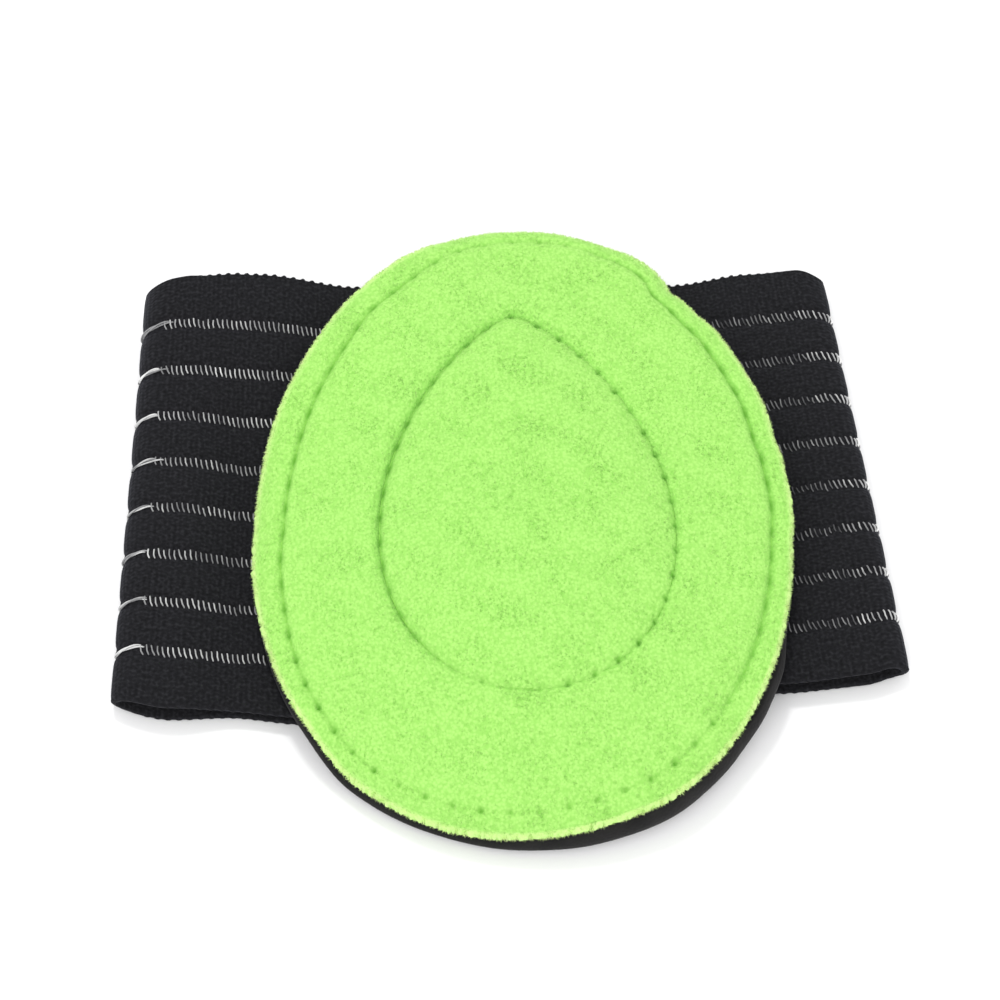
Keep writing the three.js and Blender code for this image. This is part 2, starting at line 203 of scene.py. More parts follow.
def lifted(flat, height):
    """Places of the plan, at a height."""
    return np.concatenate([flat, height[..., None]], -1)


def smooth_curve(places, values, at):
    """A smooth line through a short table of places and values."""
    places, values = np.asarray(places, float), np.asarray(values, float)
    slopes = np.gradient(values, places)
    last = np.clip(np.searchsorted(places, at), 1, len(places) - 1)
    span = places[last] - places[last - 1]
    t = np.clip((at - places[last - 1]) / span, 0, 1)
    start, end = values[last - 1], values[last]
    return (
        start * (2 * t**3 - 3 * t**2 + 1)
        + end * (3 * t**2 - 2 * t**3)
        + slopes[last - 1] * span * (t**3 - 2 * t**2 + t)
        + slopes[last] * span * (t**3 - t**2)
    )


# The loop

def inner_height(length, side):
    along = length / HALF_LOOP
    far, middle, near = (
        eased(HEIGHT_ROWS[:, 0], HEIGHT_ROWS[:, 1] * HEIGHT_ROWS[:, column], along) for column in (2, 3, 4)
    )
    share = ease(np.abs(side))
    return middle * (1 - share) + np.where(side < 0, far, near) * share


def widening(length):
    return 1 - WIDTH_DRIFT * length / HALF_LOOP


def drift(length, across):
    """How far a place across the elastic is moved towards the near side."""
    side = across / (BAND_WIDTH / 2)
    along = length / HALF_LOOP
    lost, far, near = (eased(EDGE_ROWS[:, 0], EDGE_ROWS[:, column], along) for column in (1, 2, 3))
    out = np.sign(side) * np.minimum(1, np.abs(side)) ** DRIFT_POWER
    return np.where(side < 0, far, near) * out - lost * across


def on_loop(length, across, height):
    angle = length / MIDDLE_RADIUS
    radius = MIDDLE_RADIUS + (across + drift(length, across)) * widening(length)
    return np.stack([radius * np.sin(angle), MIDDLE_RADIUS - radius * np.cos(angle), height + 0 * radius], -1)


def loop_stations(step):
    """Stations round the loop: the stretch that each is on, its share of it, the path and its length."""
    stretch, share, path, start = [], [], [], 0.0
    for number, length in enumerate((LOWER_LENGTH, RIGHT_FOLD_ROUND, LOWER_LENGTH, LEFT_FOLD_ROUND)):
        count = round(length / step)
        shares = np.arange(count) / count
        stretch.append(np.full(count, number))
        share.append(shares)
        path.append(start + shares * length)
        start += length
    return np.concatenate(stretch), np.concatenate(share), np.concatenate(path), start


def wall_point(stretch, share, across, out):
    """Points out from the middle of the elastic's wall: stations down the first axis, places across."""
    stretch, share = stretch[:, None], share[:, None]
    side = (across / (BAND_WIDTH / 2))[None, :]

    left_end = -HALF_LOOP + LEFT_FOLD_REACH
    right_end = HALF_LOOP - RIGHT_FOLD_REACH - RIGHT_FOLD_DRIFT * (1 - side) / 2
    left_half = (inner_height(np.array(left_end), side) + WALL) / 2
    right_half = (inner_height(right_end, side) + WALL) / 2
    on = mix(left_end, right_end, np.where(stretch == 0, share, 1 - share))
    angle = -math.pi / 2 + math.pi * share
    length = 0 * side + np.select(
        [stretch == 1, stretch == 3],
        [right_end + RIGHT_FOLD_REACH * np.cos(angle), left_end - LEFT_FOLD_REACH * np.cos(angle)], on)
    height = WALL / 2 + np.select(
        [stretch == 0, stretch == 1, stretch == 2],
        [0 * on + 0 * side, right_half * (1 + np.sin(angle)), inner_height(on, side) + WALL],
        left_half * (1 - np.sin(angle)))
    # the corners of the folds are rounded
    at_fold = np.where((stretch == 1) | (stretch == 3), np.clip(np.cos(angle), 0, 1) ** 2, 0)
    far_rounding = np.where(stretch == 3, LEFT_ROUNDING, RIGHT_ROUNDING)
    near_rounding = np.where(stretch == 3, NEAR_LEFT_ROUNDING, NEAR_RIGHT_ROUNDING)
    round_off = np.where(side < 0, far_rounding, near_rounding) * at_fold * side ** ROUNDING_POWER
    across = across[None, :] - np.sign(side) * round_off
    run, rise = (np.roll(a, -1, 0) - np.roll(a, 1, 0) for a in (length, height))
    span = np.hypot(run, rise)
    return on_loop(length + rise / span * out, across, height - run / span * out)


# The pad

def turned(x, y, middle_x, middle_y, degrees):
    angle = math.radians(degrees)
    return np.stack([
        middle_x + x * math.cos(angle) + y * math.sin(angle),
        middle_y - x * math.sin(angle) + y * math.cos(angle)], -1)


def squared_off(share):
    return np.sign(share) * np.abs(share) ** (2 / PAD_SQUARENESS)


def rim_point(turn):
    angle = np.radians(turn)
    along, across = squared_off(np.cos(angle)), squared_off(np.sin(angle))
    mean_radius = (PAD_LENGTH + PAD_WIDTH) / 4
    trim = 1 + at_turn(RIM_TRIM, turn) / mean_radius
    x = PAD_WIDTH / 2 * across * (1 - PAD_TAPER * along) * trim
    return turned(x, PAD_LENGTH / 2 * along * trim, PAD_ACROSS, PAD_ALONG, PAD_TURN)


def drop_point(turn):
    angle = np.radians(turn)
    x = DROP_WIDTH / 2 * np.sin(angle) * np.abs(np.sin(angle / 2)) ** DROP_POINT
    return turned(x, DROP_LENGTH / 2 * np.cos(angle), DROP_ACROSS, DROP_ALONG, DROP_TURN)


def inside_point(turn, inset):
    along = unit(rim_point(turn + 1) - rim_point(turn - 1))
    square = np.stack([along[..., 1], -along[..., 0]], -1)
    return rim_point(turn) + square * np.asarray(inset)[..., None]


def place_on_loop(point, stay_up):
    x, y = point[..., 0], point[..., 1]
    length = MIDDLE_RADIUS * np.arctan2(x, MIDDLE_RADIUS - y)
    seen = (np.hypot(x, MIDDLE_RADIUS - y) - MIDDLE_RADIUS) / widening(length)
    across = seen - drift(length, seen)
    past = np.abs(across) - BAND_WIDTH / 2 - stay_up
    return length, across / (BAND_WIDTH / 2), 1 - ease(past / DRAPE_LENGTH)


def clear_of_loop(point, space, stay_up):
    length, side, cover = place_on_loop(point, stay_up)
    return (2 * WALL + inner_height(length, side) + space) * cover


SHARES_OVER = (-18, -9, 0, 9, 18)


def rim_share(turn, column):
    return sum(at_turn(RIM_ROWS, turn + degrees, column) for degrees in SHARES_OVER) / len(SHARES_OVER)


TABLE_TURNS = np.arange(0, 360.5, 0.5)
FLANGE_WIDTHS = FLANGE_WIDTH * rim_share(TABLE_TURNS, FLANGE)


def ring_point(turn, ring):
    """A point of the pad from above: rim at 0, outer stitches at 1, inner stitches at 2, middle at 3."""
    drop = drop_point(turn)
    angle = np.radians(turn)
    oval = turned(CROWN_WIDTH / 2 * np.sin(angle), CROWN_LENGTH / 2 * np.cos(angle),
                  DROP_ACROSS, DROP_ALONG, DROP_TURN)
    middle = np.array([DROP_ACROSS, DROP_ALONG])
    width = np.interp(turn % 360, TABLE_TURNS, FLANGE_WIDTHS)
    seam = inside_point(turn, width)
    flange = inside_point(turn, width * np.minimum(ring, 1))
    share = np.asarray(ring)[..., None]
    crown = mix(mix(drop, oval, ease(share - 2)), middle, np.clip(share - 2, 0, 1))
    field = mix(seam, drop, np.clip(share - 1, 0, 1))
    return np.where(share >= 2, crown, np.where(share >= 1, field, flange))


def least_foot(turn):
    return np.maximum(RIM_LIFT * rim_share(turn, FOOT), clear_of_loop(rim_point(turn), GAP, RIM_OVERHANG))


# The height of the rim's foot, evened out over a few degrees
EVEN_OVER = (-4, -2, 0, 2, 4)
FOOT_HEIGHTS = np.mean([
    np.max([least_foot(TABLE_TURNS + aside + more) for more in EVEN_OVER], 0) for aside in EVEN_OVER], 0)


def backing_under(turn, ring):
    point = ring_point(turn, ring)
    foot = np.interp(turn % 360, TABLE_TURNS, FOOT_HEIGHTS)
    cover = place_on_loop(point, OVERHANG)[2]
    dome = mix(np.maximum(foot, UNDER_RISE), HOLLOW_TOP + SEAT_GAP, cover)
    raised = mix(foot, dome, ease((ring - FLAT_RINGS) / RISE_RINGS))
    return np.where(ring <= 0, foot, np.maximum(raised, clear_of_loop(point, SEAT_GAP, OVERHANG)))


def cover_under(turn, ring):
    depth = np.maximum(BACKING_WALL, RIM_DEPTH * rim_share(turn, DEPTH))
    lift = at_turn(FLANGE_LIFT, turn) * ease(1 - ring)
    return backing_under(turn, ring) + mix(depth, BACKING_WALL, ease(ring / RISE_RINGS)) + GAP + lift


# Swell of the cover's top between the levels of its lines
CROWN_SWELL = ([2.0, 2.08, 2.3, 2.62, 3.0], [0.1, 0.34, 0.68, 0.93, 1.0])
FIELD_SWELL = ([1.0, 1.2, 1.45, 1.7, 1.9, 2.0], [1.0, 0.9, 0.68, 0.36, 0.12, 0.04])
FLANGE_SWELL = ([0.0, 0.14, 0.4, 0.72, 1.0], [1.0, 0.86, 0.5, 0.16, 0.0])


def cover_top(turn, ring):
    least = cover_under(turn, 1 + 0 * turn) + SEAM_THICKNESS
    seam_top = np.maximum(SEAM_HEIGHT * rim_share(turn, SEAM), least)
    crown = mix(DROP_TOP, CROWN_TOP, smooth_curve(*CROWN_SWELL, ring))
    field = mix(DROP_TOP, seam_top, smooth_curve(*FIELD_SWELL, ring))
    edge = cover_under(turn, 0 * ring) + FLANGE_THICKNESS
    flange = mix(seam_top, edge, smooth_curve(*FLANGE_SWELL, ring))
    return np.where(ring >= 2, crown, np.where(ring >= 1, field, flange))


# How deep each line of stitches sinks: turn, millimetres. More on the left and right than at the near end.
OUTER_SINK = np.array([[0, 0.4], [40, 0.9], [75, 1.2], [110, 1], [140, 0.4], [175, 0.2], [215, 0.3],
                       [240, 0.6], [270, 0.8], [310, 0.8], [340, 0.5], [360, 0.4]])
INNER_SINK = np.array([[0, 0.6], [30, 0.55], [90, 0.45], [150, 0.25], [180, 0.12], [205, 0.15], [235, 0.7],
                       [280, 0.95], [330, 0.9], [360, 0.6]])
# How strong the painted shade is along each line of stitches: turn, share
OUTER_SHADE = np.array([[0, 0.15], [25, 0.3], [38, 0.75], [75, 0.85], [110, 0.7], [140, 0.25], [170, 0.05],
                       [205, 0.12], [235, 0.5], [262, 0.82], [290, 0.88], [315, 0.78], [345, 0.35],
                       [360, 0.15]])
INNER_SHADE = np.array([[0, 0.4], [30, 0.2], [90, 0.5], [130, 0.3], [165, 0.03], [205, 0.06], [235, 0.65],
                       [280, 0.95], [330, 0.75], [360, 0.4]])
# How much of each needle hole shows: turn, share
OUTER_HOLES = np.array([[0, 0.45], [40, 0.25], [75, 0.1], [115, 0.3], [138, 0.75], [170, 0.6], [200, 0.85],
                        [225, 1], [246, 0.8], [266, 0.3], [300, 0.25], [335, 0.5], [360, 0.45]])
INNER_HOLES = np.array([[0, 0.7], [40, 0.9], [110, 0.9], [150, 0.7], [175, 0.5], [205, 0.4], [235, 0.5],
                        [280, 0.4], [330, 0.45], [360, 0.7]])
STITCH_LENGTH = 4.4
DIMPLE_DEPTH = 0.7
DIMPLE_REACH = 0.5
HOLE_REACH = 0.42
GROOVE_REACH = 0.55
DIP_REACH = 1.5
LINE_TURNS = np.arange(1441) / 4
HOLE_DRAWS = draws.uniform(0.55, 1.25, 200)


def stitch_line(ring, sinks, shades, holes):
    """A line of stitches: its ring, its tables, the distance along it and its number of stitches."""
    steps = np.diff(ring_point(LINE_TURNS, ring + 0 * LINE_TURNS), axis=0)
    path = np.append(0, np.cumsum(np.linalg.norm(steps, axis=1)))
    return ring, sinks, shades, holes, path, round(path[-1] / STITCH_LENGTH)


STITCH_LINES = (
    stitch_line(1, OUTER_SINK, OUTER_SHADE, OUTER_HOLES),
    stitch_line(2, INNER_SINK, INNER_SHADE, INNER_HOLES),
)


def to_needle_hole(phase, path, count):
    return np.abs(phase - np.round(phase)) * path[-1] / count


def stitch_phase(turn, path, count):
    """Stitches passed since the far end at a turn, and the distance along the line to a needle hole."""
    phase = np.interp(turn % 360, LINE_TURNS, path) / path[-1] * count
    return phase, to_needle_hole(phase, path, count)


def near_stitches(turn, ring):
    """For each line of stitches: its depth, its painted shade, its holes, and the distance to it and to a
    hole.
    """
    point = ring_point(turn, ring)
    for line, sinks, shades, holes, path, count in STITCH_LINES:
        away = np.linalg.norm(point - ring_point(turn, line + 0 * turn), axis=-1)
        phase, along = stitch_phase(turn, path, count)
        shown = at_turn(holes, turn) * HOLE_DRAWS[np.round(phase).astype(int) % count]
        # the painted shade is darker at the needle holes and lighter between them
        line_shade = at_turn(shades, turn) * (0.78 + 0.22 * np.cos(2 * math.pi * phase))
        yield at_turn(sinks, turn), line_shade, shown, away, np.hypot(away, along)


def sink(turn, ring):
    """How far the stitches draw the cover down."""
    total = 0
    for deep, _, shown, away, to_hole in near_stitches(turn, ring):
        groove = 0.55 * np.exp(-(away / GROOVE_REACH) ** 2) + 0.45 * np.exp(-(away / DIP_REACH) ** 2)
        total = total + deep * groove + DIMPLE_DEPTH * shown * np.exp(-(to_hole / DIMPLE_REACH) ** 2)
    return total


def stitch_shade(turn, ring):
    """Painted shade along the grooves of the stitches and in their needle holes, from 0 to 1."""
    total = 0
    for _, line_shade, shown, away, to_hole in near_stitches(turn, ring):
        line = np.minimum(1, 1.1 * line_shade) * np.exp(-(away / (0.2 + 0.22 * line_shade)) ** 2)
        hole = np.clip(1.25 * shown, 0, 1) * np.exp(-(to_hole / HOLE_REACH) ** 2)
        total = np.maximum(total, np.maximum(line, hole))
    return total


# Meshes

def mesh_object(name, points, faces):
    """A mesh object from points in the source's millimetres."""
    points = np.asarray(points, float).reshape(-1, 3)
    moved = (points + np.array([ORIGIN_X, ORIGIN_Y, 0])) * MM
    mesh = bpy.data.meshes.new(name)
    mesh.from_pydata(moved.tolist(), [], faces.tolist() if isinstance(faces, np.ndarray) else faces)
    mesh.polygons.foreach_set("use_smooth", [True] * len(mesh.polygons))
    mesh.update()
    return add_object(name, mesh)


def add_object(name, data):
    made = bpy.data.objects.new(name, data)
    bpy.context.scene.collection.objects.link(made)
    return made


def mark(piece, name, values):
    """Keeps a value at each point, for the materials."""
    layer = piece.data.attributes.new(name, "FLOAT", "POINT")
    layer.data.foreach_set("value", np.asarray(values, np.float32).ravel())


def grid_faces(rows, columns, wrap_rows=False):
    """Quads of a grid whose columns close on themselves."""
    row = np.arange(rows if wrap_rows else rows - 1)[:, None]
    column = np.arange(columns)
    low, high = row * columns, (row + 1) % rows * columns
    after = (column + 1) % columns
    return np.stack([low + column, high + column, high + after, low + after], -1).reshape(-1, 4)


def capped_grid(name, grid, first, last):
    """A closed skin: rings of points between two single points."""
    rows, columns = grid.shape[:2]
    faces = grid_faces(rows, columns).tolist()
    top, bottom = rows * columns, rows * columns + 1
    final = (rows - 1) * columns
    for step in range(columns):
        after = (step + 1) % columns
        faces.append([top, step, after])
        faces.append([final + step, bottom, final + after])
    points = np.concatenate([grid.reshape(-1, 3), [first], [last]])
    return mesh_object(name, points, faces)


# A direction that no strand runs along
NO_STRAND_RUNS = np.array([0.13, 0.21, 0.97])


def tubes(name, paths, radius, sides=6, closed=False, shine=None):
    """Round strands along lines of points, joined in one mesh. paths has shape strands, points, 3."""
    paths = np.asarray(paths, float)
    if closed:
        ahead, behind = np.roll(paths, -1, 1), np.roll(paths, 1, 1)
    else:
        ahead = np.concatenate([paths[:, 1:], paths[:, -1:]], 1)
        behind = np.concatenate([paths[:, :1], paths[:, :-1]], 1)
    along = unit(ahead - behind)
    side = unit(np.cross(along, NO_STRAND_RUNS))
    other = np.cross(side, along)
    angle = np.arange(sides) * 2 * math.pi / sides
    radii = np.broadcast_to(np.asarray(radius, float), paths.shape[:2])[..., None, None]
    rounds = np.cos(angle)[:, None] * side[..., None, :] + np.sin(angle)[:, None] * other[..., None, :]
    points = paths[..., None, :] + radii * rounds
    # nothing goes into the floor
    points[..., 2] = np.maximum(points[..., 2], 0)
    strands, count = paths.shape[:2]
    starts = np.arange(strands) * count * sides
    faces = (grid_faces(count, sides, wrap_rows=closed) + starts[:, None, None]).reshape(-1, 4).tolist()
    if not closed:
        for start in starts.tolist():
            end = start + (count - 1) * sides
            faces.append([start + corner for corner in range(sides)])
            faces.append([end + corner for corner in reversed(range(sides))])
    piece = mesh_object(name, points, faces)
    if shine is not None:
        mark(piece, "shine", np.repeat(shine, count * sides))
    return piece


# Elastic band

# The filament fills most of each groove, so only this depth of it shows
GROOVE_SHOWN = 0.3
RIB_SHOULDER = 0.35
RIB_CROWN = 0.12
RIB_STEPS = 8
EDGE_ROUND = 0.45
INSIDE_STEPS = 12


def groove_middle(groove):
    return EDGE_RIB_WIDTH + (groove - 1) * RIB_PITCH


def band_section():
    """Places across the elastic with depths under its outer face, far edge to near edge and back inside."""
    section = [(0.0, 0.55), (0.08, 0.3), (0.25, 0.1)]
    edges = [EDGE_ROUND]
    for groove in range(1, RIB_COUNT):
        middle = groove_middle(groove)
        edges += [middle - GROOVE_WIDTH / 2 - RIB_SHOULDER, middle + GROOVE_WIDTH / 2 + RIB_SHOULDER]
    edges.append(BAND_WIDTH - EDGE_ROUND)
    for rib in range(RIB_COUNT):
        low, high = edges[2 * rib], edges[2 * rib + 1]
        for step in range(RIB_STEPS + 1):
            share = step / RIB_STEPS
            section.append((mix(low, high, share), RIB_CROWN * (2 * share - 1) ** 4))
        if rib < RIB_COUNT - 1:
            after = edges[2 * rib + 2]
            section += [(high + 0.2, 0.6 * GROOVE_SHOWN), (high + 0.5, GROOVE_SHOWN),
                        (high + RIB_SHOULDER + GROOVE_WIDTH / 2, 0.9 * GROOVE_SHOWN),
                        (after - 0.5, GROOVE_SHOWN), (after - 0.2, 0.6 * GROOVE_SHOWN)]
    section += [(BAND_WIDTH - 0.25, 0.1), (BAND_WIDTH - 0.08, 0.3), (BAND_WIDTH, 0.55)]
    section += [(BAND_WIDTH, WALL - 0.4), (BAND_WIDTH - 0.15, WALL - 0.1)]
    for step in range(1, INSIDE_STEPS):
        section.append((BAND_WIDTH * (1 - step / INSIDE_STEPS), WALL))
    section += [(0.15, WALL - 0.1), (0.0, WALL - 0.4)]
    return np.array(section)


BAND_STEP = 0.42
WAVER = 0.05


def make_band():
    stretch, share, path, _ = loop_stations(BAND_STEP)
    section = band_section()
    place, depth = section[:, 0], section[:, 1]
    # the woven face is a little uneven
    waver = WAVER * np.sin(path[:, None] / 1.9 + place * 0.7) * np.sin(path[:, None] / 5.3)
    grid = wall_point(stretch, share, place - BAND_WIDTH / 2, WALL / 2 - depth + waver * (depth < 0.4))
    grid[..., 2] = np.maximum(grid[..., 2], 0)
    piece = mesh_object("elastic_loop", grid, grid_faces(len(path), len(section), wrap_rows=True))
    # each point's place on the flat cloth, for the weave
    places = np.stack(np.broadcast_arrays(path[:, None], place, 0 * depth), -1)
    layer = piece.data.attributes.new("cloth", "FLOAT_VECTOR", "POINT")
    layer.data.foreach_set("vector", np.asarray(places, np.float32).ravel())
    return piece


YARN_RADIUS = 0.3
YARN_PITCH = 1.6
YARN_STEPS = 9


def make_edge_yarn(name, place, outward, most):
    """Yarn that wraps the edge of the elastic in small bumps, most where the pad holds the elastic."""
    whole = loop_stations(1.0)[3]
    turns_round = round(whole / YARN_PITCH)
    stretch, share, path, whole = loop_stations(whole / turns_round / YARN_STEPS)
    phase = path / whole * turns_round * 2 * math.pi
    # the bumps flatten out at the folds
    right_fold, left_fold = (path[stretch == number].mean() for number in (1, 3))
    from_fold = np.minimum(np.abs(path - right_fold), np.abs(path - left_fold))
    bumpy = mix(0.1, most, ease((from_fold - 7) / 10))
    over = 0.5 * bumpy * np.sin(phase)
    past = 0.16 * bumpy * np.cos(phase) - 0.2
    across = np.array([place - BAND_WIDTH / 2])
    middle = wall_point(stretch, share, across, 0)[:, 0]
    raised = wall_point(stretch, share, across, 1)[:, 0]
    aside = wall_point(stretch, share, across + outward, 0)[:, 0]
    line = middle + (raised - middle) * over[:, None] + (aside - middle) * past[:, None]
    line[:, 2] = np.maximum(line[:, 2], YARN_RADIUS)
    return tubes(name, line[None], YARN_RADIUS, closed=True)


def band_frame(low, high):
    """Lines round the loop at two places across, and the way out from the cloth there."""
    stretch, share, path, whole = loop_stations(0.2)
    edges, raised = (wall_point(stretch, share, np.array([low, high]), out) for out in (0, 1))
    return path, whole, np.concatenate([edges, raised - edges], 1).reshape(len(path), 12)


def on_band(shape, path, share, out):
    """Points at a path round the loop, a share of the way between the two places, a height over the cloth."""
    places, whole, values = shape
    at = path % whole
    rows = np.stack([np.interp(at, np.append(places, whole), np.append(values[:, k], values[0, k]))
                     for k in range(12)], -1)
    rows = rows.reshape(*at.shape, 4, 3)
    share, out = share[..., None], out[..., None]
    return mix(rows[..., 0, :], rows[..., 1, :], share) + mix(rows[..., 2, :], rows[..., 3, :], share) * out


STROKE_REACH = 0.86
LEFT_PITCH, RIGHT_PITCH = 0.80, 0.74


def make_stripe(groove):
    """Filament that is woven to and fro: strokes across the groove, whose ends go down into the cloth."""
    middle = groove_middle(groove) - BAND_WIDTH / 2
    shape = band_frame(middle - STROKE_REACH, middle + STROKE_REACH)
    path, whole = shape[0], shape[1]
    half = whole / 2
    rightness = 1 - np.abs(path - half * 0.97) / half
    pitch = mix(LEFT_PITCH, RIGHT_PITCH, rightness)
    phase = np.cumsum(np.full(len(path), path[1]) / pitch)
    count = int(phase[-1])
    at = np.interp(np.arange(count) + 0.5, phase, path)
    # one long strand takes the place of the strokes at the left fold
    left_fold = whole - LEFT_FOLD_ROUND
    at = at[(at < left_fold + 1.5) | (at > left_fold + 6.6)]
    count = len(at)
    part = np.linspace(-1, 1, 9)[None, :]
    wave = 0.5 + 0.25 * np.sin(at / 3.1 + groove * 2.1) + 0.25 * np.sin(at / 7.7 + groove)
    faint = 0.55 * wave + 0.45 * draws.random(count)
    right = ease((np.interp(at, path, rightness) - 0.5) / 0.2) * (at > half)
    right_turn = LOWER_LENGTH + 4.2
    last = np.exp(-((at - right_turn - 0.9) / 0.75) ** 2)
    depth = 0.03 + 0.1 * faint + 0.14 * right * draws.random(count) * (1 - last)
    lean = 0.1 + 0.06 * draws.normal(size=count) + 0.03 * right * draws.normal(size=count)
    reach = 1 + (0.07 + 0.12 * right) * draws.normal(size=count)
    shift = 0.05 * (1 + right) * draws.normal(size=count)
    along = at[:, None] + lean[:, None] * part - 0.4 * np.clip(-part - 0.35, 0, 1) * (1 - 2 * last[:, None])
    share = 0.5 - 0.5 * part * np.clip(reach, 0.7, 1.15)[:, None] + shift[:, None]
    out = WALL / 2 - depth[:, None] - 0.5 * np.abs(part) ** 4
    strokes = on_band(shape, along, share, out)
    toward_pad = np.clip((at - right_turn) / 32, 0, 1) * right
    # Painted shine of each stroke: it varies at random, drops for fainter strokes that sit deeper, falls off
    # as painted shade towards the pad, and is full on the last stroke before the turn
    shine = np.clip(0.72 - 0.5 * faint - 0.36 * right * draws.random(count) - 0.22 * toward_pad, 0.06, 1)
    shine = np.maximum(shine, last)
    radius = 0.13 + 0.05 * last - 0.02 * right
    return tubes(f"filament_{groove}", strokes, radius[:, None], sides=5, shine=shine)


def make_fold_strands():
    """At the left fold the filament shows as one longer slanting strand in each groove."""
    strands = []
    part = np.linspace(0, 1, 20)
    for groove in range(1, RIB_COUNT):
        middle = groove_middle(groove) - BAND_WIDTH / 2
        shape = band_frame(middle - 1, middle + 1)
        fold = shape[1] - LEFT_FOLD_ROUND
        length = 5.2 + 1.0 * draws.random()
        slant = 0.42 + 0.2 * draws.random()
        for filament_turn in (0.0, 2.1, 4.2):
            wind = filament_turn + (5 + draws.random()) * part
            path = fold + 6.2 + 0.3 * draws.normal() - (length + 0.4 * draws.normal()) * part
            share = 0.86 - slant * ease(part) + 0.085 * np.cos(wind)
            out = WALL / 2 - 0.1 + 0.14 * np.sin(wind) - 0.5 * np.abs(2 * part - 1) ** 8
            strands.append(on_band(shape, path, share, out))
    thick = 0.13 + 0.03 * np.exp(-((part - 0.16) / 0.14) ** 2)
    return tubes("fold_strands", strands, thick[None], shine=draws.uniform(0.34, 0.8, len(strands)))


# Cover of the pad

COVER_TURNS = 768
TOP_RINGS = np.concatenate([
    np.linspace(2.985, 2.12, 30), np.linspace(2.08, 1.95, 14), np.linspace(1.91, 1.11, 30),
    np.linspace(1.08, 1.0, 9), np.linspace(0.94, 0.16, 13)])
LOWER_RINGS = np.array([0.3, 0.7, 1.0, 1.5, 2.0, 2.6])
RIM_ANGLES = np.radians([68, 40, 12, -16, -48, -78])
RIM_ROUNDING = 0.62
TOOTH = 0.16
GRAIN_WAVES = 14


def turn_grid(count, rings):
    turn = -360 * np.arange(count) / count % 360
    return np.broadcast_arrays(turn[None, :], rings[:, None])


def grain(points, scale, seed):
    """Smooth noise from a few crossed waves, the same each run."""
    waves = np.random.default_rng(seed)
    total = 0
    for _ in range(GRAIN_WAVES):
        way = unit(waves.normal(size=2))
        size = scale * waves.uniform(0.75, 1.4)
        total = total + np.sin((points[..., :2] @ way) * 2 * math.pi / size + waves.uniform(0, 6.3))
    return total / math.sqrt(GRAIN_WAVES)


def painted_rim_sheen(turn, ring):
    """Painted sheen on the cut edge, which shows paler than the rest of the cover, over a wider strip at the
    far end.
    """
    inset = ring * np.interp(turn % 360, TABLE_TURNS, FLANGE_WIDTHS)
    return 1 - ease(inset / (1.2 + 0.6 * np.cos(np.radians(turn))))


def cover_lining(count, rings):
    turn, ring = turn_grid(count, rings)
    return lifted(ring_point(turn, ring), cover_under(turn, ring))


def make_cover(puff):
    turn, ring = turn_grid(COVER_TURNS, TOP_RINGS)
    flat = ring_point(turn, ring)
    height = cover_top(turn, ring) - sink(turn, ring) + puff(turn, ring)
    height += 0.04 * grain(flat, 0.95, 3) + 0.03 * grain(flat, 2.4, 4) + 0.05 * grain(flat, 9.0, 5)

    # rounded rim, with the small teeth of the cut edge
    rim_turn = turn[0]
    teeth = TOOTH * draws.normal(size=COVER_TURNS)
    low, high = cover_under(rim_turn, 0 * rim_turn), cover_top(rim_turn, 0 * rim_turn)
    sides = []
    for angle in RIM_ANGLES:
        inset = RIM_ROUNDING * (1 - math.cos(angle)) - teeth * math.cos(angle)
        sides.append(lifted(inside_point(rim_turn, inset), mix(low, high, 0.5 + 0.5 * math.sin(angle))))
    grid = np.concatenate([lifted(flat, height), np.array(sides), cover_lining(COVER_TURNS, LOWER_RINGS)])
    first = [DROP_ACROSS, DROP_ALONG, CROWN_TOP + puff(np.array(0.0), np.array(3.0))]
    piece = capped_grid("terry_cover", grid, first, [DROP_ACROSS, DROP_ALONG, CENTRE_UNDER])
    stitch_shade_values, rim_sheen_paint = np.zeros((2, len(piece.data.vertices)))
    stitch_shade_values[: turn.size] = stitch_shade(turn, ring).ravel()
    mark(piece, "stitch_shade", stitch_shade_values)
    rim_sheen_paint[: turn.size] = painted_rim_sheen(turn, ring).ravel()
    # the rounded sides of the rim get the full painted sheen
    rim_sheen_paint[turn.size: turn.size + len(sides) * COVER_TURNS] = 1
    mark(piece, "rim_sheen_paint", rim_sheen_paint)
    return piece


# Where the backing's edge is pulled in by its seam, or stands out with a minus: turn, millimetres
BACKING_TRIM = np.array([[0, 0], [110, 0], [120, -1.0], [127, -0.95], [136, -0.3], [147, 0], [165, 0],
                          [182, 0.4], [198, 0.7], [212, 0.4], [226, 0], [360, 0]])


BACKING_TURNS = 512
BACKING_OVER_RINGS = np.array([2.6, 2.0, 1.6, 1.2, 0.9, 0.6, 0.3])
BACKING_UNDER_RINGS = np.array([0.25, 0.45, 0.7, 0.9, 1.0, 1.12, 1.25, 1.4, 1.55, 1.75, 2.0, 2.3, 2.6])
EDGE_TUCK = 0.45
EDGE_INSET = 0.1


